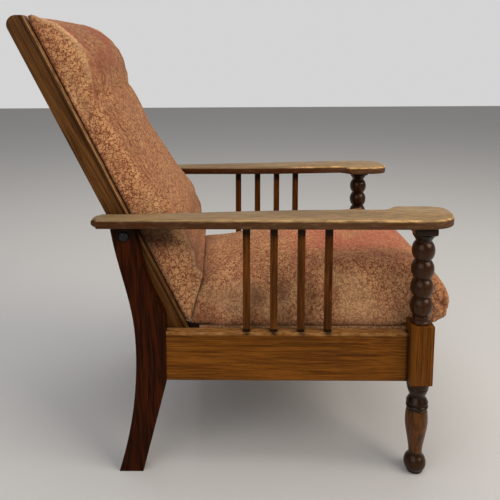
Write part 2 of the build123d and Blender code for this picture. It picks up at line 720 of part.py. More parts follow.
# Seat frame: four rails, sliding on the runners
with BuildPart() as seat_side_rail:
    with BuildSketch(Plane.XY.offset(seat_bottom)):
        Polygon((-half_width(-seat_frame_front, seat_outside), leg_y - seat_frame_front),
                (-half_width(-seat_frame_front, seat_inside), leg_y - seat_frame_front),
                (-half_width(seat_frame_rear, seat_inside), seat_rear_y),
                (-half_width(seat_frame_rear, seat_outside), seat_rear_y), align=None)
    extrude(amount=seat_frame_height)
    chamfer(seat_side_rail.edges().filter_by(lambda e: e.length > seat_frame_rear / 2), edge_bevel)
write_pair(seat_side_rail.part, "seat_side_rail")

seat_cross_rails = {
    "seat_front_rail": (-seat_frame_front, seat_rail_thickness - seat_frame_front),
    "seat_rear_rail": (seat_frame_rear - seat_rail_thickness, seat_frame_rear),
}
for name, (front, rear) in seat_cross_rails.items():
    with BuildPart() as seat_cross_rail:
        with BuildSketch(Plane.XY.offset(seat_bottom)):
            Polygon(*cross_outline(front, rear, seat_inside), align=None)
        extrude(amount=seat_frame_height)
        chamfer(seat_cross_rail.edges().filter_by(lambda e: e.length > leg_half), edge_bevel)
    write(seat_cross_rail.part, name)

# Webbing under the seat's stuffing
well_front = seat_rail_thickness - seat_frame_front
well_rear = seat_frame_rear - seat_rail_thickness
web_step = (well_rear - well_front) / seat_web_cross_count
long_web_spacing = 2 * half_width(well_rear, seat_inside) / (seat_web_count + 1)
with BuildPart() as seat_webbing:
    with BuildSketch(Plane.XY.offset(seat_bottom + seat_web_height)):
        for k in range(seat_web_cross_count):
            start = well_front + (k + 0.5) * web_step - web_width / 2
            Polygon(*cross_outline(start, start + web_width, seat_inside), align=None)
        with Locations((0, leg_y + (well_front + well_rear) / 2)):
            with GridLocations(long_web_spacing, 0, seat_web_count, 1):
                Rectangle(web_width, well_rear - well_front)
    extrude(amount=web_thickness)
write(seat_webbing.part, "seat_webbing")

# Seat cushion: drawn in at the sides, crowned, higher in front, and rolled over the front rail
seat_pad_base = seat_top + soft_gap
seat_tilt = radians(seat_pad_back_tilt)
seat_pad_reach_all = seat_pad_rear + seat_pad_reach
with BuildPart() as seat_cushion:
    rear_border, rear_crown = seat_pad_rear_shares
    rear_plane = Plane(origin=(0, leg_y + seat_pad_rear, seat_pad_base), x_dir=(1, 0, 0),
                       z_dir=(0, -cos(seat_tilt), -sin(seat_tilt)))
    add(soft_section(rear_plane, half_width(seat_pad_rear, seat_outside + seat_pad_inset), 0,
                     rear_border * seat_pad_edge, rear_crown * seat_pad_crown, seat_pad_swell, seat_pad_draw))
    stations = [(place * seat_pad_rear, 0, border, crown, 1) for place, border, crown in seat_pad_shares]
    stations += [(-place * seat_pad_reach, low, border, crown, wide)
                 for place, low, border, crown, wide in seat_roll_shares]
    for behind, low, border, crown, wide in stations:
        share = (behind + seat_pad_reach) / seat_pad_reach_all
        pinch = 1 - (1 - seat_pad_waist_share) * 4 * share * (1 - share)
        half = half_width(behind, seat_outside + seat_pad_inset) * pinch * wide
        level = Plane(origin=(0, leg_y + behind, seat_pad_base), x_dir=(1, 0, 0), z_dir=(0, -1, 0))
        add(soft_section(level, half, low * seat_pad_edge, border * seat_pad_edge, crown * seat_pad_crown,
                         seat_pad_swell, seat_pad_draw))
    loft(ruled=True)
write(seat_cushion.part, "seat_cushion")
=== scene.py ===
import bpy
import json
import math
import numpy as np
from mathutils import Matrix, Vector, noise


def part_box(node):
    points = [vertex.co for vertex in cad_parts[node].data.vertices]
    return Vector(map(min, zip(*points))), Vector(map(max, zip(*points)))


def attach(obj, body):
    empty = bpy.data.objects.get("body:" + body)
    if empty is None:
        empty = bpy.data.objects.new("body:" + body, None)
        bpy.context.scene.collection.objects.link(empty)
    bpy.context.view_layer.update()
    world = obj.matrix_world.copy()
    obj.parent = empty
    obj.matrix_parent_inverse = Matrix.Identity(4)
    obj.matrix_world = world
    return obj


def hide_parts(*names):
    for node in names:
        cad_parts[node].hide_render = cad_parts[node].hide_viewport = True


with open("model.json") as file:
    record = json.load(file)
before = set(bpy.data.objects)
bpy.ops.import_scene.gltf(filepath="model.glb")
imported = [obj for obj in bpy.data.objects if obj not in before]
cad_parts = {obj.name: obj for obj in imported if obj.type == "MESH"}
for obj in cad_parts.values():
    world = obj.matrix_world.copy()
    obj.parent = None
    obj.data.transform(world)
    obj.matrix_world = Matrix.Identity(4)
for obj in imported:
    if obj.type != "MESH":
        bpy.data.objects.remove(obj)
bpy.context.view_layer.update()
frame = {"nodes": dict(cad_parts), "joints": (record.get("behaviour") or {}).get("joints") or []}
nodes = frame["nodes"]
print("stage 1: frame loaded,", len(nodes), "nodes")

# where things are, read from the frame as far as it says
mm = 0.001
pivot = Vector(frame["joints"][0]["pos_m"])
blockLow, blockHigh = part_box("front_leg_right")
legAxis = Vector(((blockLow.x + blockHigh.x) / 2, (blockLow.y + blockHigh.y) / 2, 0))
chair = {                      # places in millimetres above the floor and behind the front leg axis
    "splayDegrees": 3.5,       # how far each side turns in to the rear
    "leanDegrees": 25.4,       # how far the back leans
    "seatBase": 325.6, "seatRear": 500, "seatRearTiltDegrees": 15,
}
splay = math.radians(chair["splayDegrees"])
lean = math.radians(chair["leanDegrees"])
sides = {"right": -1, "left": 1}
upward = (0, 0, 1)
rearward = (0, 1, 0)
acrossWise = (1, 0, 0)
alongSide = (math.sin(splay), math.cos(splay), 0)
upBack = (0, math.sin(lean), math.cos(lean))
outOfBack = (0, -math.cos(lean), math.sin(lean))


# small helpers for meshes
def pickNothing():
    if bpy.context.object and bpy.context.object.mode != "OBJECT":
        bpy.ops.object.mode_set(mode="OBJECT")
    bpy.ops.object.select_all(action="DESELECT")


def pickOnly(obj):
    pickNothing()
    obj.select_set(True)
    bpy.context.view_layer.objects.active = obj


def edit(obj):
    pickOnly(obj)
    bpy.ops.object.mode_set(mode="EDIT")
    bpy.ops.mesh.select_all(action="SELECT")


def leaveEdit():
    bpy.ops.object.mode_set(mode="OBJECT")


def settle(obj, smoothAngle):      # place and turn go into the mesh, and the normals face out
    pickOnly(obj)
    bpy.ops.object.transform_apply(location=True, rotation=True, scale=True)
    edit(obj)
    bpy.ops.mesh.remove_doubles(threshold=0.02 * mm)
    bpy.ops.mesh.normals_make_consistent(inside=False)
    leaveEdit()
    bpy.ops.object.shade_smooth_by_angle(angle=math.radians(smoothAngle))


def applyModifier(obj, kind, **values):
    pickOnly(obj)
    modifier = obj.modifiers.new(kind.title(), kind)
    for key, value in values.items():
        setattr(modifier, key, value)
    bpy.ops.object.modifier_apply(modifier=modifier.name)


def points(obj):
    flat = np.empty(len(obj.data.vertices) * 3)
    obj.data.vertices.foreach_get("co", flat)
    return flat.reshape(-1, 3)


def setPoints(obj, co):
    obj.data.vertices.foreach_set("co", co.ravel())
    obj.data.update()


def pointNormals(obj):
    flat = np.empty(len(obj.data.vertices) * 3)
    obj.data.vertex_normals.foreach_get("vector", flat)
    return flat.reshape(-1, 3)


def paint(obj, name, values):
    layer = obj.data.attributes.get(name) or obj.data.attributes.new(name, "FLOAT", "POINT")
    layer.data.foreach_set("value", np.clip(values, 0, 1).astype(np.float32))


def step(low, high, value):        # 0 at low, 1 at high, which may be the smaller one
    share = np.clip((value - low) / (high - low), 0, 1)
    return share * share * (3 - 2 * share)


def hump(value, centre, width):    # 1 at the centre, and less to both sides
    return np.exp(-((value - centre) / width) ** 2)


# small helpers for materials
def tint(code):
    values = [int(code[i:i + 2], 16) / 255 for i in (1, 3, 5)]
    return [v / 12.92 if v <= 0.04045 else ((v + 0.055) / 1.055) ** 2.4 for v in values] + [1.0]


def put(tree, kind, values=None, **settings):
    node = tree.nodes.new(kind)
    for key, value in settings.items():
        setattr(node, key, value)
    for key, value in (values or {}).items():
        if isinstance(value, bpy.types.NodeSocket):
            tree.links.new(value, node.inputs[key])
        else:
            node.inputs[key].default_value = value
    return node


def calc(tree, operation, a, b=0.0, clamp=False):
    return put(tree, "ShaderNodeMath", {0: a, 1: b}, operation=operation, use_clamp=clamp).outputs[0]


def spread(tree, value, low, high, toLow=0.0, toHigh=1.0):
    limits = {"Value": value, "From Min": low, "From Max": high, "To Min": toLow, "To Max": toHigh}
    return put(tree, "ShaderNodeMapRange", limits, interpolation_type="SMOOTHSTEP").outputs[0]


def mixColour(tree, share, a, b):
    node = put(tree, "ShaderNodeMix", data_type="RGBA", blend_type="MIX", clamp_factor=True)
    for index, value in ((0, share), (6, a), (7, b)):
        if isinstance(value, bpy.types.NodeSocket):
            tree.links.new(value, node.inputs[index])
        else:
            node.inputs[index].default_value = value
    return node.outputs[2]


def grainNoise(tree, vector, stretch, detail=3.0, distortion=0.0, roughness=0.55):
    scaled = put(tree, "ShaderNodeMapping", {"Vector": vector, "Scale": stretch}).outputs[0]
    return put(tree, "ShaderNodeTexNoise", {"Vector": scaled, "Scale": 1.0, "Detail": detail,
                                            "Distortion": distortion, "Roughness": roughness}).outputs[0]


def newGroup(name, inputs, outputs):
    group = bpy.data.node_groups.new(name, "ShaderNodeTree")
    for key, kind, value in inputs:
        socket = group.interface.new_socket(key, in_out="INPUT", socket_type=kind)
        if value is not None:
            socket.default_value = value
    for key, kind in outputs:
        group.interface.new_socket(key, in_out="OUTPUT", socket_type=kind)
    return group, group.nodes.new("NodeGroupInput"), group.nodes.new("NodeGroupOutput")


# shared shader groups
oakLayers = {                  # how fine each layer is along the grain and across it
    "broad": (1.5, 15, 15), "lines": (7, 330, 330), "veins": (5, 190, 190), "pores": (38, 900, 900),
    "patches": (4, 14, 14), "wear": (40, 160, 160),
}
wormPattern = {                # chenille: bent cells, pile and faded blotches
    "bendScale": 125, "bendReach": 0.019, "cellScale": 90, "lineWidth": 0.14, "gap": 0.58,
    "pileScale": 520, "blotchScale": 24,
}


def makeOakGrain():
    group, given, result = newGroup(
        "oakGrain",
        [("Vector", "NodeSocketVector", None), ("Light", "NodeSocketColor", tint("#8a5a30")),
         ("Mid", "NodeSocketColor", tint("#5d3616")), ("Dark", "NodeSocketColor", tint("#2a1408")),
         ("Figure", "NodeSocketFloat", 0.6), ("Pores", "NodeSocketFloat", 0.6)],
        [("Color", "NodeSocketColor"), ("Height", "NodeSocketFloat"), ("Polish", "NodeSocketFloat")])
    vector = given.outputs["Vector"]
    broad = grainNoise(group, vector, oakLayers["broad"], 3, 0.8)
    bands = calc(group, "PINGPONG", calc(group, "MULTIPLY", broad, 9.0), 0.5)
    bands = spread(group, bands, 0.04, 0.48)
    lines = grainNoise(group, vector, oakLayers["lines"], 5, 0.2, 0.7)
    veins = grainNoise(group, vector, oakLayers["veins"], 4, 0.5, 0.7)
    pores = spread(group, grainNoise(group, vector, oakLayers["pores"], 2), 0.58, 0.70)
    patches = spread(group, grainNoise(group, vector, oakLayers["patches"], 3, 0.5), 0.36, 0.68)
    share = calc(group, "MULTIPLY", bands, given.outputs["Figure"])
    share = calc(group, "ADD", share, calc(group, "MULTIPLY", spread(group, veins, 0.30, 0.72), 0.55))
    share = calc(group, "ADD", share, calc(group, "MULTIPLY", spread(group, lines, 0.34, 0.66), 0.40))
    share = calc(group, "SUBTRACT", share, 0.25, True)
    colour = mixColour(group, share, given.outputs["Mid"], given.outputs["Light"])
    thin = calc(group, "MULTIPLY", spread(group, lines, 0.48, 0.34), 0.50)
    colour = mixColour(group, thin, colour, given.outputs["Dark"])
    wide = calc(group, "MULTIPLY", spread(group, veins, 0.43, 0.30), 0.40)
    colour = mixColour(group, wide, colour, given.outputs["Dark"])
    colour = mixColour(group, calc(group, "MULTIPLY", patches, 0.34), colour, given.outputs["Dark"])
    poreShare = calc(group, "MULTIPLY", pores, given.outputs["Pores"])
    colour = mixColour(group, poreShare, colour, given.outputs["Dark"])
    group.links.new(colour, result.inputs["Color"])
    height = calc(group, "SUBTRACT", calc(group, "MULTIPLY", lines, 0.5), poreShare)
    group.links.new(height, result.inputs["Height"])
    group.links.new(patches, result.inputs["Polish"])
    return group


# darkens the colour by one mask and lightens it by another, broken up by noise: real grime and wear, and
# painted shade and painted highlight where the masks put them
def makePatinaAndShading():
    group, given, result = newGroup(
        "patinaAndShading",
        [("Color", "NodeSocketColor", tint("#5d3616")), ("Vector", "NodeSocketVector", None),
         ("GrimeAndShade", "NodeSocketFloat", 0.0), ("GrimeAndShade Color", "NodeSocketColor", tint("#120905")),
         ("RubAndHighlight", "NodeSocketFloat", 0.0), ("RubAndHighlight Color", "NodeSocketColor", tint("#b98a55"))],
        [("Color", "NodeSocketColor")])
    broken = grainNoise(group, given.outputs["Vector"], oakLayers["wear"], 4, 0.3, 0.65)
    grimeAndShadeShare = spread(group, broken, 0.25, 0.55, 0.75, 1.0)
    grimeAndShade = calc(group, "MULTIPLY", given.outputs["GrimeAndShade"], grimeAndShadeShare, True)
    rubAndHighlightShare = spread(group, broken, 0.66, 0.36, 0.1, 1.0)
    rubAndHighlight = calc(group, "MULTIPLY", given.outputs["RubAndHighlight"], rubAndHighlightShare, True)
    colour = mixColour(group, rubAndHighlight, given.outputs["Color"], given.outputs["RubAndHighlight Color"])
    colour = mixColour(group, grimeAndShade, colour, given.outputs["GrimeAndShade Color"])
    group.links.new(colour, result.inputs["Color"])
    return group


def makeVermicelli():
    group, given, result = newGroup(
        "vermicelli",
        [("Vector", "NodeSocketVector", None), ("Ground", "NodeSocketColor", tint("#8a4e30")),
         ("Thread", "NodeSocketColor", tint("#c9996a")), ("Shadow", "NodeSocketColor", tint("#5d2f1c")),
         ("Size", "NodeSocketFloat", 1.0), ("Contrast", "NodeSocketFloat", 0.8)],
        [("Color", "NodeSocketColor"), ("Height", "NodeSocketFloat")])
    form = wormPattern
    plainPlace = given.outputs["Vector"]
    place = put(group, "ShaderNodeVectorMath", {0: plainPlace, "Scale": given.outputs["Size"]},
                operation="SCALE").outputs[0]
    wander = put(group, "ShaderNodeTexNoise", {"Vector": place, "Scale": form["bendScale"],
                                               "Detail": 1.0}).outputs["Color"]
    wander = put(group, "ShaderNodeVectorMath", {0: wander, "Scale": form["bendReach"]},
                 operation="SCALE").outputs[0]
    bent = put(group, "ShaderNodeVectorMath", {0: place, 1: wander}, operation="ADD").outputs[0]
    edge = put(group, "ShaderNodeTexVoronoi",
               {"Vector": bent, "Scale": form["cellScale"], "Randomness": 1.0},
               feature="DISTANCE_TO_EDGE").outputs["Distance"]
    line = spread(group, edge, 0.0, form["lineWidth"])
    plush = put(group, "ShaderNodeTexNoise", {"Vector": plainPlace, "Scale": form["pileScale"],
                                              "Detail": 3.0}).outputs[0]
    blotch = put(group, "ShaderNodeTexNoise", {"Vector": plainPlace, "Scale": form["blotchScale"],
                                               "Detail": 4.0, "Roughness": 0.65}).outputs[0]
    patch = spread(group, blotch, 0.36, 0.66)
    tuft = calc(group, "MULTIPLY", spread(group, plush, 0.30, 0.62, 0.45, 1.0), given.outputs["Contrast"])
    share = calc(group, "MULTIPLY", line, tuft)
    share = calc(group, "MULTIPLY", share, spread(group, patch, 0.0, 1.0, 1.0, 0.62))
    colour = mixColour(group, share, given.outputs["Ground"], given.outputs["Thread"])
    gap = calc(group, "MULTIPLY", spread(group, line, 0.8, 0.0), form["gap"])
    colour = mixColour(group, gap, colour, given.outputs["Shadow"])
    group.links.new(colour, result.inputs["Color"])
    height = calc(group, "ADD", calc(group, "MULTIPLY", line, 0.7), calc(group, "MULTIPLY", plush, 0.6))
    group.links.new(height, result.inputs["Height"])
    return group


oakGrain = makeOakGrain()
patinaAndShading = makePatinaAndShading()
vermicelli = makeVermicelli()


# materials
def newMaterial(name, shader):
    material = bpy.data.materials.new(name)
    material.use_nodes = True
    tree = material.node_tree
    surface = tree.nodes["Principled BSDF"]
    for key, value in shader.items():
        surface.inputs[key].default_value = value
    return material, tree, surface


def objectPlace(tree):
    return put(tree, "ShaderNodeTexCoord").outputs["Object"]


def alongGrain(tree, direction):
    turn = Vector(direction).rotation_difference(Vector((1, 0, 0))).to_euler()
    return put(tree, "ShaderNodeMapping", {"Vector": objectPlace(tree), "Rotation": tuple(turn)}).outputs[0]


def reach(tree, direction):        # how far a point lies along a direction
    return put(tree, "ShaderNodeVectorMath", {0: objectPlace(tree), 1: direction},
               operation="DOT_PRODUCT").outputs["Value"]


def band(tree, value, limits, soft, share=1.0):        # a stripe between two limits, with soft edges
    low, high = limits
    rise = spread(tree, value, (low - soft) * mm, (low + soft) * mm, 0.0, share)
    fall = spread(tree, value, (high + soft) * mm, (high - soft) * mm)
    return calc(tree, "MULTIPLY", rise, fall)


# the first mask darkens the wood with real grime and with painted shade; the second lightens it with real
# wear and with painted highlight
def oak(name, direction, tones, figure=0.5, pores=0.6, rough=(0.38, 0.52), coat=0.06, specular=0.14,
        bump=0.10, grimeAndShade=None, grimeAndShadeColour="#120905", rubAndHighlight=None, rubAndHighlightColour="#b98a55"):
    material, tree, surface = newMaterial(name, {
        "Coat Weight": coat, "Coat Roughness": 0.2, "Specular IOR Level": specular,
        "Specular Tint": tint("#ffc890")})
    vector = alongGrain(tree, direction)
    grain = put(tree, "ShaderNodeGroup", node_tree=oakGrain)
    tree.links.new(vector, grain.inputs["Vector"])
    for key, code in zip(("Light", "Mid", "Dark"), tones):
        grain.inputs[key].default_value = tint(code)
    grain.inputs["Figure"].default_value = figure
    grain.inputs["Pores"].default_value = pores
    agedAndShaded = put(tree, "ShaderNodeGroup", node_tree=patinaAndShading)
    tree.links.new(grain.outputs["Color"], agedAndShaded.inputs["Color"])
    tree.links.new(vector, agedAndShaded.inputs["Vector"])
    for key, mask in (("GrimeAndShade", grimeAndShade), ("RubAndHighlight", rubAndHighlight)):
        if mask:
            tree.links.new(mask(tree), agedAndShaded.inputs[key])
    agedAndShaded.inputs["RubAndHighlight Color"].default_value = tint(rubAndHighlightColour)
    agedAndShaded.inputs["GrimeAndShade Color"].default_value = tint(grimeAndShadeColour)
    tree.links.new(agedAndShaded.outputs["Color"], surface.inputs["Base Color"])
    roughness = spread(tree, grain.outputs["Polish"], 0, 1, rough[0], rough[1])
    tree.links.new(roughness, surface.inputs["Roughness"])
    normal = put(tree, "ShaderNodeBump", {"Height": grain.outputs["Height"], "Strength": bump,
                                          "Distance": 1.0 * mm})
    tree.links.new(normal.outputs[0], surface.inputs["Normal"])
    return material


def plain(name, code, shader):
    material, tree, surface = newMaterial(name, shader)
    surface.inputs["Base Color"].default_value = tint(code)
    return material


woodTones = {                  # light, middle and dark of each stain
    "rail": ("#935716", "#5e3206", "#281203"),
    "block": ("#80490f", "#4f2903", "#200e02"),
    "turned": ("#42240f", "#231007", "#0c0502"),
    "rearLeg": ("#431804", "#1a0601", "#070200"),
    "stile": ("#7c5128", "#45270e", "#190b03"),
    "arm": ("#a08865", "#7b6143", "#382411"),
    "spindle": ("#6e3c10", "#3e1e03", "#150802"),
    "bare": ("#8f6b45", "#6d4b2a", "#38240f"),
}
# bands of stain, wear, painted shade and painted highlight on the wood
woodMarksAndShading = {                  # from and to, in millimetres above the floor
    "railTop": (321, 340), "railUnder": (200, 218.5), "footStain": (317, 326),
    "spindleFoot": (320, 333), "spindleHead": (540, 570),
    "ankle": (40, 47), "vase": (47, 149), "rings": (150, 214), "crown": (534, 570),
    "rearLegHead": (520, 562), "stileHead": (530, 575), "stileFade": (545, 600),
    "railFront": (-375, -361), "footStainReach": 7,        # along y, and to either side of a spindle
    "stileEdge": (19, 24), "stileGroove": (13, 17),        # out from the middle of the stile
}


def anyOf(tree, first, second):
    return calc(tree, "MAXIMUM", first, second)


# painted highlight: a lighter stripe along the rail's top edge
def railTopHighlight(tree):
    return band(tree, reach(tree, upward), woodMarksAndShading["railTop"], 1.5, 0.55)


def spindleFeet(tree):
    stains = 0.0
    size = woodMarksAndShading["footStainReach"]
    for number in range(1, 5):
        low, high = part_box("spindle_%d_right" % number)
        middle = (low.y + high.y) / 2 / mm
        stain = band(tree, reach(tree, rearward), (middle - size, middle + size), size)
        stains = anyOf(tree, stain, stains)
    low, high = woodMarksAndShading["footStain"]
    return calc(tree, "MULTIPLY", stains, spread(tree, reach(tree, upward), low * mm, high * mm, 0.0, 0.85))


# painted shade at the rail's front end where it meets the leg block, a darker band near its lower edge, and
# dark stains round the spindle feet
def railEnds(tree):
    front = band(tree, reach(tree, rearward), woodMarksAndShading["railFront"], 3.0, 0.85)
    under = band(tree, reach(tree, upward), woodMarksAndShading["railUnder"], 1.0, 0.5)
    return anyOf(tree, anyOf(tree, front, under), spindleFeet(tree))


# the spindle feet are stained dark; the heads get painted shade under the arm
def spindleEnds(tree):
    height = reach(tree, upward)
    foot = band(tree, height, woodMarksAndShading["spindleFoot"], 1.5)
    return anyOf(tree, foot, band(tree, height, woodMarksAndShading["spindleHead"], 8))


# dirt in the ankle and ring grooves, and painted shade on the crown under the arm
def legGroovesAndCrownShade(tree):
    height = reach(tree, upward)
    ankle = band(tree, height, woodMarksAndShading["ankle"], 2, 0.7)
    rings = band(tree, height, woodMarksAndShading["rings"], 2, 0.7)
    return anyOf(tree, anyOf(tree, ankle, rings), band(tree, height, woodMarksAndShading["crown"], 5))


def vaseOfLeg(tree):
    return band(tree, reach(tree, upward), woodMarksAndShading["vase"], 2, 0.72)


# painted shadow on the top of the rear leg, under the arm
def shadeUnderArm(tree):
    low, high = woodMarksAndShading["rearLegHead"]
    return spread(tree, reach(tree, upward), low * mm, high * mm, 0.0, 0.85)


def outFromStile(tree):
    return calc(tree, "SUBTRACT", reach(tree, outOfBack), pivot.dot(Vector(outOfBack)))


# a lighter strip along the stile's front edge, fainter low down
def stileEdge(tree):
    edge = band(tree, outFromStile(tree), woodMarksAndShading["stileEdge"], 0.8, 0.75)
    low, high = woodMarksAndShading["stileFade"]
    return calc(tree, "MULTIPLY", edge, spread(tree, reach(tree, upward), low * mm, high * mm, 0.35, 1.0))


# a dark line along the stile, and painted shade on the stile's head under the arm
def stileGroove(tree):
    groove = band(tree, outFromStile(tree), woodMarksAndShading["stileGroove"], 1.5, 0.45)
    return anyOf(tree, groove, band(tree, reach(tree, upward), woodMarksAndShading["stileHead"], 22, 0.9))


def paintedMask(name):
    def mask(tree):
        return put(tree, "ShaderNodeAttribute", attribute_name=name).outputs["Fac"]
    return mask


railOak = oak("railOak", alongSide, woodTones["rail"], figure=0.22, pores=0.5, grimeAndShade=railEnds,
              rubAndHighlight=railTopHighlight)
crossOak = oak("crossOak", acrossWise, woodTones["rail"], figure=0.22, pores=0.5)
blockOak = oak("blockOak", upward, woodTones["block"], figure=0.15, pores=0.5)
turnedOak = oak("turnedOak", upward, woodTones["turned"], figure=0.3, pores=0.3, rough=(0.26, 0.36),
                coat=0.2, specular=0.18, bump=0.04, grimeAndShade=legGroovesAndCrownShade, rubAndHighlight=vaseOfLeg,
                rubAndHighlightColour="#6a3c10")
rearLegOak = oak("rearLegOak", upward, woodTones["rearLeg"], figure=0.6, pores=0.3, coat=0.05,
                 specular=0.06, grimeAndShade=shadeUnderArm, grimeAndShadeColour="#050302")
stileOak = oak("stileOak", upBack, woodTones["stile"], figure=0.35, pores=0.5, grimeAndShade=stileGroove,
               rubAndHighlight=stileEdge, rubAndHighlightColour="#a87c50")
armOak = oak("armOak", alongSide, woodTones["arm"], figure=0.25, rough=(0.38, 0.5), specular=0.2,
             grimeAndShade=paintedMask("side"), grimeAndShadeColour="#3e1d0a", rubAndHighlight=paintedMask("worn"),
             rubAndHighlightColour="#e0b273")
spindleOak = oak("spindleOak", upward, woodTones["spindle"], pores=0.5, grimeAndShade=spindleEnds)
bareOak = oak("bareOak", rearward, woodTones["bare"], figure=0.4, pores=0.4, rough=(0.6, 0.75), coat=0.0)
bareCrossOak = oak("bareCrossOak", acrossWise, woodTones["bare"], figure=0.4, pores=0.4,
                   rough=(0.6, 0.75), coat=0.0)
blackIron = plain("blackIron", "#0c0808", {"Roughness": 0.42, "Specular IOR Level": 0.3})
brownIron = plain("brownIron", "#452a1a", {"Roughness": 0.7, "Metallic": 0.0})
dullSteel = plain("dullSteel", "#3a3633", {"Roughness": 0.5, "Metallic": 0.8})
print("stage 2: wood and metal materials made")


def dress(material, *names):
    for name in names:
        mesh = nodes[name].data
        mesh.materials.clear()
        mesh.materials.append(material)


for side in sides:
    dress(railOak, "side_rail_" + side)
    dress(rearLegOak, "rear_leg_" + side)
    dress(stileOak, "back_stile_" + side)
    dress(bareOak, "seat_runner_" + side, "seat_side_rail_" + side)
    dress(brownIron, "hinge_bracket_" + side)
    dress(spindleOak, *["spindle_%d_%s" % (k, side) for k in range(1, 5)])
dress(crossOak, "front_rail", "rear_rail")
dress(bareCrossOak, "seat_front_rail", "seat_rear_rail", "back_top_rail", "back_middle_rail",
      "back_bottom_rail")
dress(blackIron, "pivot_bolts", "pivot_washers", "pivot_nuts")
dress(dullSteel, "hinge_screws")


# plain cloth of the webbing and the lining
def plainCloth(name, code, darker, size):
    material, tree, surface = newMaterial(name, {"Roughness": 0.95, "Specular IOR Level": 0.1})
    weave = put(tree, "ShaderNodeTexNoise", {"Vector": objectPlace(tree), "Scale": size,
                                             "Detail": 3.0}).outputs[0]
    colour = mixColour(tree, spread(tree, weave, 0.35, 0.65), tint(darker), tint(code))
    tree.links.new(colour, surface.inputs["Base Color"])
    return material


juteWeb = plainCloth("juteWeb", "#a98f63", "#7a6442", 900)
darkCotton = plainCloth("darkCotton", "#33261d", "#241a13", 700)
dress(juteWeb, "back_webbing", "seat_webbing")
dress(darkCotton, "back_lining")


# front legs, turned from the square
frontLeg = {                   # heights and radii in millimetres
    "foot": [(0, 16.4), (1.2, 17.8), (3.4, 18.2), (5.2, 17.8), (6.6, 19.2), (10, 21.8), (15, 23.6),
             (21, 24.2), (28, 23.2), (34, 20.4), (38.5, 16.8), (42, 15)],
    "vase": [(46, 14.6), (58, 15.6), (74, 18), (92, 21.3), (108, 23.8), (120, 24.6), (134, 24.2),
             (144, 23), (150, 21.2)],
    "collar": [(151, 19.8), (152.5, 22.4), (155, 23.8), (157.6, 23.9), (160, 22.6), (161.2, 20.8)],
    "torus": [(162.2, 20.8), (163.6, 22.8), (166.4, 23.6), (169, 22.6), (173, 20.6), (177, 18.2),
              (180, 16.8), (183, 16.6)],
    "lowerCup": [(185, 18.4), (189, 20), (194, 21.8), (199, 23), (201.4, 22.2), (203, 23.8), (207, 24.4),
                 (211, 24.2), (214, 23.6)],
    "ring": [(350, 20.5), (351, 21.5), (354.5, 21.5), (356, 20), (358, 18.4), (366.5, 17.4)],
    "crownCup": [(532.5, 16.6), (536, 18), (541, 21), (545, 23.4), (548, 24)],
    "bobbins": (4, 41.5, 24.6, 16.6, 0.6),       # how many, pitch, largest and least radius, half groove
    "block": (214, 350, 50, 1.8), "crownBlock": (548, 565, 49, 4.5),     # from, to, width, softened edge
    "sides": 96,
}


def smoothRings(rings, steps=4):   # a curve through the rings
    places = np.array(rings, dtype=float)
    ends = np.vstack((2 * places[0] - places[1], places, 2 * places[-1] - places[-2]))
    smooth = []
    for k in range(1, len(ends) - 2):
        a, b, c, d = ends[k - 1:k + 3]
        for j in range(steps):
            t = j / steps
            smooth.append(0.5 * (2 * b + (c - a) * t + (2 * a - 5 * b + 4 * c - d) * t * t
                                 + (3 * b - a - 3 * c + d) * t ** 3))
    smooth.append(places[-1])
    return [tuple(ring) for ring in smooth]


def bobbin(low, high, most, neck, steps=14):
    rings = []
    for k in range(steps + 1):
        t = math.cos(math.pi * (1 - k / steps))
        radius = neck + (most - neck) * (1 - abs(t) ** 2.1) ** 0.85
        rings.append(((low + high) / 2 + t * (high - low) / 2, radius))
    return rings


def turnedRings(form, upper):
    if not upper:
        parts = [smoothRings(form[key]) for key in ("foot", "vase", "collar", "torus", "lowerCup")]
        return sum(parts, [])
    count, pitch, most, neck, groove = form["bobbins"]
    rings = form["ring"][:4] + smoothRings(form["ring"][3:])
    start = form["crownCup"][0][0] - count * pitch
    for k in range(count):
        rings += bobbin(start + k * pitch + groove, start + (k + 1) * pitch - groove, most, neck)
    return rings + smoothRings(form["crownCup"])


def turn(name, centre, rings, sidesCount, material):
    z, radius = rings[0]
    pickNothing()
    bpy.ops.mesh.primitive_circle_add(vertices=sidesCount, radius=radius * mm, fill_type="NGON",
                                      location=(centre.x, centre.y, z * mm))
    piece = bpy.context.object
    piece.name = name
    edit(piece)
    for high, wide in rings[1:]:
        bpy.ops.mesh.extrude_region_move(TRANSFORM_OT_translate={"value": (0, 0, (high - z) * mm)})
        size = wide / radius
        bpy.ops.transform.resize(value=(size, size, 1), center_override=(centre.x, centre.y, high * mm))
        z, radius = high, wide
    leaveEdit()
    settle(piece, 50)
    piece.data.materials.append(material)
    return piece


def squareBlock(name, centre, size, material, turnAngle):
    low, high, width, soft = size
    pickNothing()
    bpy.ops.mesh.primitive_cube_add(size=1, location=(0, 0, (low + high) / 2 * mm))
    piece = bpy.context.object
    piece.name = name
    piece.scale = (width * mm, width * mm, (high - low) * mm)
    bpy.ops.object.transform_apply(location=True, rotation=False, scale=True)
    edit(piece)
    bpy.ops.mesh.bevel(offset=soft * mm, segments=4, profile=0.5)
    leaveEdit()
    piece.location = (centre.x, centre.y, 0)
    piece.rotation_euler = (0, 0, turnAngle)
    settle(piece, 35)
    piece.data.materials.append(material)
    return piece


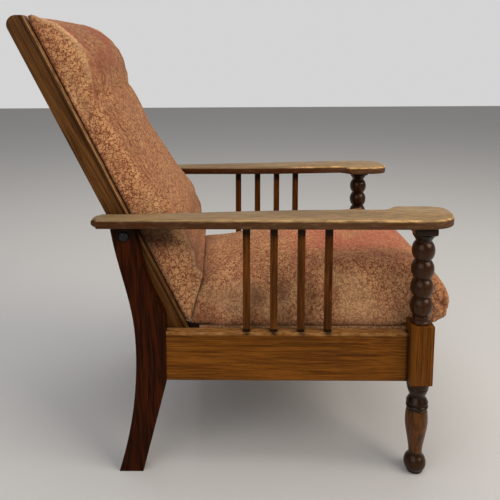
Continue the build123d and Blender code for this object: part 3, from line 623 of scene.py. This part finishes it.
def makeFrontLegs():
    form = frontLeg
    for side, sign in sides.items():
        centre = Vector((sign * abs(legAxis.x), legAxis.y, 0))
        lower = turn("legVase_" + side, centre, turnedRings(form, False), form["sides"], turnedOak)
        upper = turn("legBobbins_" + side, centre, turnedRings(form, True), form["sides"], turnedOak)
        block = squareBlock("legBlock_" + side, centre, form["block"], blockOak, sign * splay)
        crown = squareBlock("legCrown_" + side, centre, form["crownBlock"], turnedOak, sign * splay)
        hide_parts("front_leg_" + side)
        for piece in (lower, upper, block, crown):
            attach(piece, "frame")


makeFrontLegs()
print("stage 3: front legs turned")


# arms, with softened arrises and a thinner nose
armBoard = {"bevel": 6.0, "underBevel": 3.5, "segments": 5, "noseLength": 11, "noseThinning": 0.5}


def makeArm(side):
    node = nodes["arm_" + side]
    low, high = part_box("arm_" + side)
    arm = bpy.data.objects.new("armBoard_" + side, node.data.copy())
    bpy.context.scene.collection.objects.link(arm)
    edit(arm)
    bpy.ops.mesh.remove_doubles(threshold=0.05 * mm)
    bpy.ops.mesh.select_mode(type="FACE")
    bpy.ops.mesh.select_all(action="DESELECT")
    leaveEdit()
    for polygon in arm.data.polygons:
        polygon.select = not (polygon.normal.z > 0.99 and abs(polygon.center.z - high.z) < 0.2 * mm)
    pickOnly(arm)
    bpy.ops.object.mode_set(mode="EDIT")
    bpy.ops.mesh.delete(type="FACE")
    bpy.ops.mesh.select_all(action="SELECT")
    bpy.ops.mesh.dissolve_limited(angle_limit=math.radians(1))
    bpy.ops.mesh.select_all(action="SELECT")
    bpy.ops.mesh.extrude_region_move(TRANSFORM_OT_translate={"value": (0, 0, low.z - high.z)})
    bpy.ops.mesh.select_all(action="SELECT")
    bpy.ops.mesh.normals_make_consistent(inside=False)
    for level, width in ((high.z, armBoard["bevel"]), (low.z, armBoard["underBevel"])):
        bpy.ops.mesh.select_mode(type="EDGE")
        bpy.ops.mesh.select_all(action="DESELECT")
        leaveEdit()
        co = points(arm)
        for edge in arm.data.edges:
            a, b = edge.vertices
            edge.select = max(abs(co[a][2] - level), abs(co[b][2] - level)) < 0.1 * mm
        bpy.ops.object.mode_set(mode="EDIT")
        bpy.ops.mesh.bevel(offset=width * mm, segments=armBoard["segments"], profile=0.5)
    leaveEdit()
    settle(arm, 30)
    co = points(arm)
    depth = (high.z - co[:, 2]) / mm
    behind = (co[:, 1] - legAxis.y) / mm
    sign = sides[side]
    past = (co[:, 1] - legAxis.y) * math.cos(splay) - (co[:, 0] * sign - abs(legAxis.x)) * math.sin(splay)
    nose = np.clip(1 - (past.max() - past) / (armBoard["noseLength"] * mm), 0, 1) ** 2
    middle = (high.z + low.z) / 2
    co[:, 2] = middle + (co[:, 2] - middle) * (1 - armBoard["noseThinning"] * nose)
    setPoints(arm, co)
    # the sides are darker than the top, a little less so towards the front
    paint(arm, "side", step(2.0, 6.0, depth) * (1 - 0.2 * step(190, 40, behind)))
    paint(arm, "worn", hump(depth, 3.0, 2.6) * (0.08 + 0.92 * step(225, 150, behind)))
    arm.data.materials.clear()
    arm.data.materials.append(armOak)
    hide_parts("arm_" + side)
    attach(arm, "frame")


for side in sides:
    makeArm(side)
print("stage 4: arms shaped")


# chenille of the cushions
coverLook = {
    "ground": "#8e5034", "thread": "#d5a16c", "shadow": "#5e2b1a", "rose": "#a44c3e", "worn": "#cfa87a",
    "burnt": "#2a140b",
    "size": 1.0, "contrast": 0.88, "sheen": 0.2, "bump": 0.6,
    "masks": {                 # which colour a painted mask brings, and its greatest share
        "rose": ("rose", 0.55), "worn": ("worn", 0.50), "hollow": ("shadow", 0.62),
        "burnt": ("burnt", 0.85),
    },
}


def coverCloth(name, look):
    material, tree, surface = newMaterial(name, {
        "Roughness": 0.92, "Specular IOR Level": 0.12, "Sheen Weight": look["sheen"],
        "Sheen Roughness": 0.45, "Sheen Tint": tint("#ffd9b8")})
    weave = put(tree, "ShaderNodeGroup", node_tree=vermicelli)
    tree.links.new(objectPlace(tree), weave.inputs["Vector"])
    for key in ("Ground", "Thread", "Shadow"):
        weave.inputs[key].default_value = tint(look[key.lower()])
    weave.inputs["Size"].default_value = look["size"]
    weave.inputs["Contrast"].default_value = look["contrast"]
    colour = weave.outputs["Color"]
    for key, (tone, most) in look["masks"].items():
        mask = paintedMask(key)(tree)
        colour = mixColour(tree, calc(tree, "MULTIPLY", mask, most), colour, tint(look[tone]))
    tree.links.new(colour, surface.inputs["Base Color"])
    normal = put(tree, "ShaderNodeBump", {"Height": weave.outputs["Height"], "Strength": look["bump"],
                                          "Distance": 1.5 * mm})
    tree.links.new(normal.outputs[0], surface.inputs["Normal"])
    return material


chenille = coverCloth("chenille", coverLook)


def noiseAt(co, size, shift=0.0):
    offset = Vector((shift, shift * 0.7, shift * 1.3))
    return np.array([noise.noise(Vector(p) / size + offset) for p in co])


def padFrom(name, nodeName, voxel, smoothing, crisp):      # crisp: how much stays square, by place
    pad = bpy.data.objects.new(name, nodes[nodeName].data.copy())
    bpy.context.scene.collection.objects.link(pad)
    edit(pad)
    bpy.ops.mesh.remove_doubles(threshold=0.01 * mm)
    leaveEdit()
    applyModifier(pad, "REMESH", mode="VOXEL", voxel_size=voxel * mm, use_smooth_shade=True)
    square = points(pad)
    applyModifier(pad, "SMOOTH", factor=0.5, iterations=smoothing)
    share = crisp(square)[:, None]
    setPoints(pad, points(pad) * (1 - share) + square * share)
    return pad


stuffing = {                   # how the cover gives while it is blown up
    "frames": 20,
    "settings": {"quality": 4, "mass": 0.3, "tension_stiffness": 12, "compression_stiffness": 12,
                 "shear_stiffness": 5, "bending_stiffness": 0.6, "use_pressure": True},
}


def swell(pad, held, cap, pressure):       # stuffing presses the cover out, up to the cap in millimetres
    before = points(pad)
    group = pad.vertex_groups.new(name="held")
    for index in np.nonzero(held > 0.02)[0]:
        group.add([int(index)], float(held[index]), "REPLACE")
    pickOnly(pad)
    cloth = pad.modifiers.new("Cloth", "CLOTH")
    for key, value in stuffing["settings"].items():
        setattr(cloth.settings, key, value)
    cloth.settings.uniform_pressure_force = pressure
    cloth.settings.effector_weights.gravity = 0
    cloth.settings.vertex_group_mass = "held"
    cloth.point_cache.frame_start = 1
    cloth.point_cache.frame_end = stuffing["frames"]
    for number in range(1, stuffing["frames"] + 1):
        bpy.context.scene.frame_set(number)
    bpy.ops.object.modifier_apply(modifier=cloth.name)
    bpy.context.scene.frame_set(1)
    moved = points(pad) - before
    far = np.linalg.norm(moved, axis=1)
    limit = cap * mm
    share = np.where(far > 1e-9, limit * np.tanh(far / limit) / np.maximum(far, 1e-9), 0)
    setPoints(pad, before + moved * (share * (1 - held))[:, None])
    pad.vertex_groups.clear()


def finishPad(pad, node, body):
    pickOnly(pad)
    bpy.ops.object.shade_smooth()
    pad.data.materials.clear()
    pad.data.materials.append(chenille)
    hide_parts(node)
    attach(pad, body)
    print("   ", pad.name, len(pad.data.polygons), "faces")


# back cushion, in millimetres along the stile (t), out from it (n) and across (x)
backPad = {
    "voxel": 7.5, "smoothing": 9, "cap": 7.0, "pressure": 4.0, "fill": 0.75,
    "front": [(-254, 24), (-221, 49), (-173, 87), (-111, 107), (-50, 107), (17, 92), (168, 76), (289, 75),
              (357, 91), (413, 95), (458, 74), (485, 48), (500, 27)],
    "seamWelt": 3.6, "trench": 1.8, "waist": 292, "waistDip": 3.2,
    "tufts": (-165, -55, 55, 165), "tuftDepth": 5.5, "folds": 7,
    "cornerDip": (292, 84, 13, 4.0),             # t, n, size and depth
    "pleats": 0.8, "tacks": 1.5, "footDrop": 9, "footLevel": 326.2, "seatGap": 0.6, "seatTop": 440,
}


def stilePlace(co):
    away = (co - np.array(pivot)) / mm
    return away[:, 0], away @ upBack, away @ outOfBack


def seatRearPlane(height):
    tilt = math.tan(math.radians(chair["seatRearTiltDegrees"]))
    return legAxis.y + (chair["seatRear"] - (height / mm - chair["seatBase"]) * tilt) * mm


def crispBack(co):
    x, t, n = stilePlace(co)
    return np.maximum(0.85 * step(-215, -235, t), 0.6 * step(-60, -110, t) * step(60, 80, n))


def makeBackPad():
    form = backPad
    pad = padFrom("backPad", "back_cushion", form["voxel"], form["smoothing"], crispBack)
    x, t, n = stilePlace(points(pad))
    held = np.maximum(step(27, 22.5, n), step(-60, -110, t) * step(40, 60, n) * 0.9)
    swell(pad, held, form["cap"], form["pressure"])
    applyModifier(pad, "SUBSURF", levels=1, render_levels=1)
    co = points(pad)
    normals = pointNormals(pad)
    x, t, n = stilePlace(co)
    corner = np.interp(t, *zip(*form["front"]))
    wide = np.abs(x)
    facing = normals @ outOfBack
    beside = np.abs(normals[:, 0])
    ends = step(-30, -70, t) + step(300, 335, t)           # where a seam parts the front from the side
    ridge = hump(beside - facing, 0, 0.42) * step(0.25, 0.5, beside) * step(0.2, 0.45, facing)
    seam = ends * ridge
    trench = ends * hump(beside - facing, -0.75, 0.25)
    front = step(corner - 14, corner + 2, n)
    free = step(24, 34, n)
    slow = noiseAt(co, 0.11)
    quick = noiseAt(co, 0.03, 3.0)
    push = form["seamWelt"] * seam - form["trench"] * trench
    push += free * (1.8 * slow + (0.7 + 0.8 * step(150, 330, t)) * quick)
    push -= form["waistDip"] * front * hump(t, form["waist"] + 6 * slow, 16) * step(210, 200, wide)

    hollow = np.zeros(len(t))
    for middle in form["tufts"]:
        across, up = x - middle, t - form["waist"]
        far = np.hypot(across, up)
        push -= form["tuftDepth"] * front * hump(np.hypot(across, up * 0.9), 0, 15)
        push += 0.9 * front * hump(far, 24, 16) * np.cos(form["folds"] * np.arctan2(up, across) + 3 * quick)
        hollow += 0.5 * front * hump(far, 0, 6)
    dipHeight, dipOut, dipSize, dipDepth = form["cornerDip"]
    cornerDip = hump(np.hypot((t - dipHeight) / 1.5, n - dipOut), 0, dipSize) * step(190, 205, wide)
    push -= dipDepth * cornerDip
    pleats = np.sin(x / 2.3 + 5 * noiseAt(co * np.array((1, 0.25, 0.25)), 0.03, 7.0))
    creased = front * hump(wide, 185, 45) * step(-110, -40, t) * step(300, 250, t)
    push += form["pleats"] * pleats * creased
    tacks = np.sin(t / 3.1 + 6 * noiseAt(co, 0.05, 9.0))
    tacks *= 0.35 + 0.65 * step(250, 420, t)
    push += form["tacks"] * tacks * hump(n, 34, 10) * step(205, 220, wide)
    foot = step(-226, -241, t) * step(12, 24, n)
    co = co + normals * (push * mm * free)[:, None] - np.outer(form["footDrop"] * mm * foot, upBack)

    # the foot stays above the rail, and its front lies against the rear of the seat
    co[:, 2] = np.where(t < -200, np.maximum(co[:, 2], form["footLevel"] * mm), co[:, 2])
    height = co[:, 2] / mm
    touch = seatRearPlane(co[:, 2]) + form["seatGap"] * mm
    meet = step(-20, -75, t) * step(corner - 20, corner - 4, n) * step(455, 432, height)
    co[:, 1] += meet * (touch - co[:, 1])
    behindSeat = (height < form["seatTop"]) & (co[:, 1] < touch)
    co[behindSeat, 1] = touch[behindSeat]
    setPoints(pad, co)

    roseNoise = noiseAt(co, 0.06, 11.0)
    rose = step(300, 400, t) * step(-0.15, 0.25, roseNoise) + 0.2 * step(0.0, 0.4, roseNoise)
    paint(pad, "rose", front * rose)
    # the seam ridge is worn lighter, and the pleat crests get a painted highlight
    worn = 1.0 * seam + 0.5 * creased * hump(pleats, 1, 0.7)
    paint(pad, "worn", worn + 0.30 * (1 - front) * step(-0.1, 0.35, noiseAt(co, 0.09, 5.0)))
    # painted shadow cast by the arm on the side of the back cushion
    belowArm = step(484, 524, height) * step(585, 566, height)
    paint(pad, "burnt", belowArm * step(108, 72, n) * step(180, 205, wide))
    # painted shade in the gap between the head and the stile, in the tufts, the corner dip, the trench,
    # along the stile and in the pleat troughs, and darker over the front
    stileGapShade = step(37 + 5 * quick, 27, n) * step(320, 400, t) * step(185, 215, wide)
    hollow += 0.8 * stileGapShade + 0.3 * front + 0.75 * cornerDip + 0.5 * trench + 0.6 * step(30, 22, n)
    hollow += 0.2 * creased + 0.25 * creased * hump(pleats, -1, 0.6)
    paint(pad, "hollow", hollow)
    finishPad(pad, "back_cushion", "back")


# seat cushion, in millimetres behind the leg axis (s), above the floor (z) and across (x)
seatPad = {
    "voxel": 7.5, "smoothing": 10, "cap": 6.0, "pressure": 4.0, "fill": 0.7, "inset": 30,
    # the last number of each dent is its share of painted shade
    "hollows": [(345, 386, 17, 3.0, 0.75), (293, 397, 15, 2.4, 0.6), (226, 392, 17, 3.4, 0.95),
                (120, 395, 20, 2.0, 0.25), (60, 420, 18, 1.6, 0.2)],      # s, z, size, depth and darkness
    "satIn": (110, 120, 12.0),                   # s, size and depth
    "sag": (12, 24, 9),                          # left side, more at its rear, rear but for the right
    "pucker": (-62, 374), "puckerDepth": 14.0, "folds": 7, "tear": (281, 352), "tearDepth": 3.0,
    "tacks": 0.9, "sideBulge": 7.0, "gather": 0.7,
}


def seatPlace(co):
    s = (co[:, 1] - legAxis.y) / mm
    along = (s + seatPad["inset"] * math.sin(splay)) / math.cos(splay)
    half = abs(legAxis.x) / mm - along * math.sin(splay) - seatPad["inset"] * math.cos(splay)
    return co[:, 0] / mm, s, co[:, 2] / mm, half


def crispSeat(co):
    x, s, z, half = seatPlace(co)
    return np.maximum(0.9 * step(340, 332, z) * step(-30, 0, s), 0.85 * step(420, 450, s))


def makeSeatPad():
    form = seatPad
    base = chair["seatBase"]
    pad = padFrom("seatPad", "seat_cushion", form["voxel"], form["smoothing"], crispSeat)
    x, s, z, half = seatPlace(points(pad))
    held = np.maximum(step(333, 327, z) * step(-25, 0, s), step(395, 425, s))
    legs = step(half - 22, half - 12, np.abs(x)) * step(45, 25, np.abs(s))
    held = np.maximum(held, legs * 0.85)
    swell(pad, held, form["cap"], form["pressure"])
    applyModifier(pad, "SUBSURF", levels=1, render_levels=1)
    co = points(pad)
    normals = pointNormals(pad)
    x, s, z, half = seatPlace(co)
    wide = np.abs(x)
    inward = half - wide
    side = step(half - 40, half - 10, wide)
    free = np.maximum(step(base + 1, base + 9, z), side * 0.9) * step(462, 440, s)
    slow = noiseAt(co, 0.12, 1.0)
    quick = noiseAt(co, 0.032, 2.0)
    push = 1.8 * slow + 0.6 * quick
    satPlace, satSize, satDepth = form["satIn"]
    push -= satDepth * hump(s, satPlace, satSize) * step(20, 150, inward) * step(420, 440, z)
    # painted shade in each dent, in the pucker and its fold troughs, and inside the tear
    hollow = np.zeros(len(s))
    for place, height, size, depth, dark in form["hollows"]:
        far = np.hypot(s - place, z - height)
        push -= depth * hump(far, 0, size) * side
        hollow += dark * hump(far, 0, size * 0.7) * side
    tacks = np.sin(s / 4.2 + 6 * noiseAt(co, 0.06, 4.0))
    push += form["tacks"] * tacks * hump(z, base + 14, 12) * side
    rearPart = step(20, 45, s) * step(480, 440, s)
    push += form["sideBulge"] * step(385, 338, z) * side * rearPart * step(323, 327, z)

    # the roll's ends are gathered to a pucker, and the side is torn
    place, height = form["pucker"]
    radius = np.hypot(s - place, (z - height) * 0.75)
    fold = np.cos(form["folds"] * np.arctan2(z - height, s - place) + 4 * quick + np.sign(x))
    ends = step(half * 0.955, half * 0.985, wide) * step(-20, -34, s)
    push -= form["puckerDepth"] * hump(radius, 0, 8.5) * ends
    push += ends * hump(radius, 18, 10) * (2.0 + 2.6 * fold)
    hollow += ends * hump(radius, 0, 9.5) + 0.5 * ends * hump(radius, 17, 9) * hump(fold, -1, 0.6)
    place, height = form["tear"]
    torn = hump(np.hypot((s - place) / 1.6, (z - height) / 5.0), 0, 1.0) * side * (x < 0)
    push -= form["tearDepth"] * torn
    hollow += torn
    gather = np.sin(x / 5.0 + 5 * noiseAt(co, 0.05, 6.0))
    push += form["gather"] * gather * step(0, -25, s) * hump(z, 345, 14)
    co = co + normals * (push * mm * free)[:, None]

    left, leftRear, rear = form["sag"]
    sag = (left + leftRear * step(240, 400, s)) * step(-20, 200, x) * step(-60, -10, s)
    sag += rear * step(300, 420, s) * step(-200, -60, x)
    co[:, 2] -= sag * mm * step(350, 460, z)
    setPoints(pad, co)

    top = step(base + 110, base + 130, z)
    roseNoise = noiseAt(co, 0.07, 8.0)
    rose = top * step(70, 130, inward + 14 * slow) * step(330, 150, s) * step(-0.8, 0.0, roseNoise)
    paint(pad, "rose", rose + 0.25 * step(0.0, 0.4, roseNoise))
    goldNoise = noiseAt(co, 0.08, 12.0)
    paint(pad, "worn", (0.12 + 0.45 * step(-0.1, 0.35, goldNoise)) * (1 - top) * side)
    paint(pad, "burnt", np.zeros(len(s)))
    # painted shade below the crown, along the bottom by the rail, at the rear against the back and over the
    # rear of the top
    band = hump(inward, 66, 40) * step(base + 100, base + 116, z) * step(320, 180, s)
    hollow += 0.3 * top * step(200, 330, s) + 0.5 * step(base + 8, base, z) + 0.5 * step(430, 470, s)
    paint(pad, "hollow", hollow + (0.8 + 0.2 * quick) * band)
    finishPad(pad, "seat_cushion", "seat")


makeBackPad()
print("stage 5: back cushion padded")
makeSeatPad()
print("stage 6: seat cushion padded")


# cover cloth turned down over the seat frame
skirt = {
    "drop": 27.0, "thickness": 1.4, "clear": 0.4, "slack": 0.5, "ripple": 0.25, "rippleLength": 6.5,
    "railInset": 28,           # from the leg axes to the outside of the seat frame
}


def makeSkirt(side):
    sign = sides[side]
    low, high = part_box("seat_side_rail_" + side)
    pickNothing()
    bpy.ops.mesh.primitive_plane_add(size=1, location=(0, 0, 0))
    cloth = bpy.context.object
    cloth.name = "seatSkirt_" + side
    length = high.y - low.y
    cloth.scale = (length / math.cos(splay) - 2 * mm, skirt["drop"] * mm, 1)
    bpy.ops.object.transform_apply(location=True, rotation=True, scale=True)
    edit(cloth)
    bpy.ops.mesh.subdivide(number_cuts=30)
    leaveEdit()
    co = points(cloth)
    ripple = skirt["ripple"] * mm * np.sin(co[:, 0] / (skirt["rippleLength"] * mm))
    ripple *= step(0.2, -0.5, co[:, 1] / (skirt["drop"] * mm))
    setPoints(cloth, np.stack((ripple, co[:, 0], co[:, 1]), axis=1))
    applyModifier(cloth, "SOLIDIFY", thickness=skirt["thickness"] * mm, offset=0)
    middle = (low.y + high.y) / 2
    along = (middle - legAxis.y) / mm
    outer = abs(legAxis.x) / mm - along * math.tan(splay) - skirt["railInset"] / math.cos(splay)
    outer += skirt["clear"] + skirt["thickness"] / 2 + skirt["slack"]
    cloth.location = (sign * outer * mm, middle, (chair["seatBase"] - skirt["drop"] / 2) * mm)
    cloth.rotation_euler = (0, 0, sign * splay)
    settle(cloth, 60)
    cloth.data.materials.append(chenille)
    # the turned-down cloth gets the lighter worn tone all over, a painted lightening of the shade under the
    # seat's edge
    for mask in coverLook["masks"]:
        paint(cloth, mask, np.full(len(cloth.data.vertices), 0.4 if mask == "worn" else 0.0))
    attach(cloth, "seat")


for side in sides:
    makeSkirt(side)
print("stage 7: cover turned down over the seat frame")


# camera, light and floor
cameraView = {                 # fitted to the photo over the legs, rails, arms, seat and back
    "place": (-1.459, 0.0376, 0.9332), "headingDegrees": -2.979, "pitchDegrees": 7.884,
    "lens": 41.67, "sensorWidth": 36.0, "shiftY": -0.24,
}
studio = {                     # of each light: place, what it faces, size, power and tint
    "lights": {
        "windowLight": ((-1.6, -2.6, 2.6), (0, 0, 0.5), (2.4, 2.0), 80.0, "#fff6ea"),
        "roomLight": ((-2.6, 1.6, 2.0), (0, 0, 0.5), (2.6, 2.2), 30.0, "#f2f5ff"),
        "ceilingLight": ((0.3, 0.0, 3.2), (0, 0, 0), (3.0, 3.0), 52.0, "#ffffff"),
    },
    "room": 0.42, "roomTint": "#e3e4e6", "wall": 0.86, "wallTint": "#e3e3e3",
    "floor": "#c9c6c2", "floorSize": 16,
}


def makeCamera():
    turnZ = math.radians(cameraView["headingDegrees"]) - math.pi / 2
    tilt = math.pi / 2 - math.radians(cameraView["pitchDegrees"])
    bpy.ops.object.camera_add(location=cameraView["place"], rotation=(tilt, 0, turnZ))
    camera = bpy.context.object
    camera.data.lens = cameraView["lens"]
    camera.data.sensor_width = cameraView["sensorWidth"]
    camera.data.shift_y = cameraView["shiftY"]
    camera.data.dof.use_dof = False
    bpy.context.scene.camera = camera


def softLight(name, place, target, size, power, code):
    bpy.ops.object.light_add(type="AREA", location=place)
    light = bpy.context.object
    light.name = name
    light.data.shape = "RECTANGLE"
    light.data.size, light.data.size_y = size
    light.data.energy = power
    light.data.color = tint(code)[:3]
    light.rotation_euler = (Vector(target) - Vector(place)).to_track_quat("-Z", "Y").to_euler()


def makeStudio():
    pickNothing()
    for name, values in studio["lights"].items():
        softLight(name, *values)
    bpy.ops.mesh.primitive_plane_add(size=studio["floorSize"], location=(0, 0, 0))
    floor = bpy.context.object
    floor.name = "studioFloor"
    finish = plain("paleFloor", studio["floor"], {"Roughness": 0.75, "Specular IOR Level": 0.2})
    floor.data.materials.append(finish)
    world = bpy.data.worlds.new("paleRoom")
    world.use_nodes = True
    tree = world.node_tree
    room = tree.nodes["Background"]
    room.inputs["Color"].default_value = tint(studio["roomTint"])
    room.inputs["Strength"].default_value = studio["room"]
    wallTint = tint(studio["wallTint"])
    wall = put(tree, "ShaderNodeBackground", {"Color": wallTint, "Strength": studio["wall"]})
    seen = put(tree, "ShaderNodeLightPath").outputs["Is Camera Ray"]
    both = put(tree, "ShaderNodeMixShader", {0: seen})
    tree.links.new(room.outputs[0], both.inputs[1])
    tree.links.new(wall.outputs[0], both.inputs[2])
    tree.links.new(both.outputs[0], tree.nodes["World Output"].inputs["Surface"])
    bpy.context.scene.world = world
    bpy.context.scene.view_settings.view_transform = "Standard"


makeCamera()
makeStudio()
print("stage 8: camera and studio set")
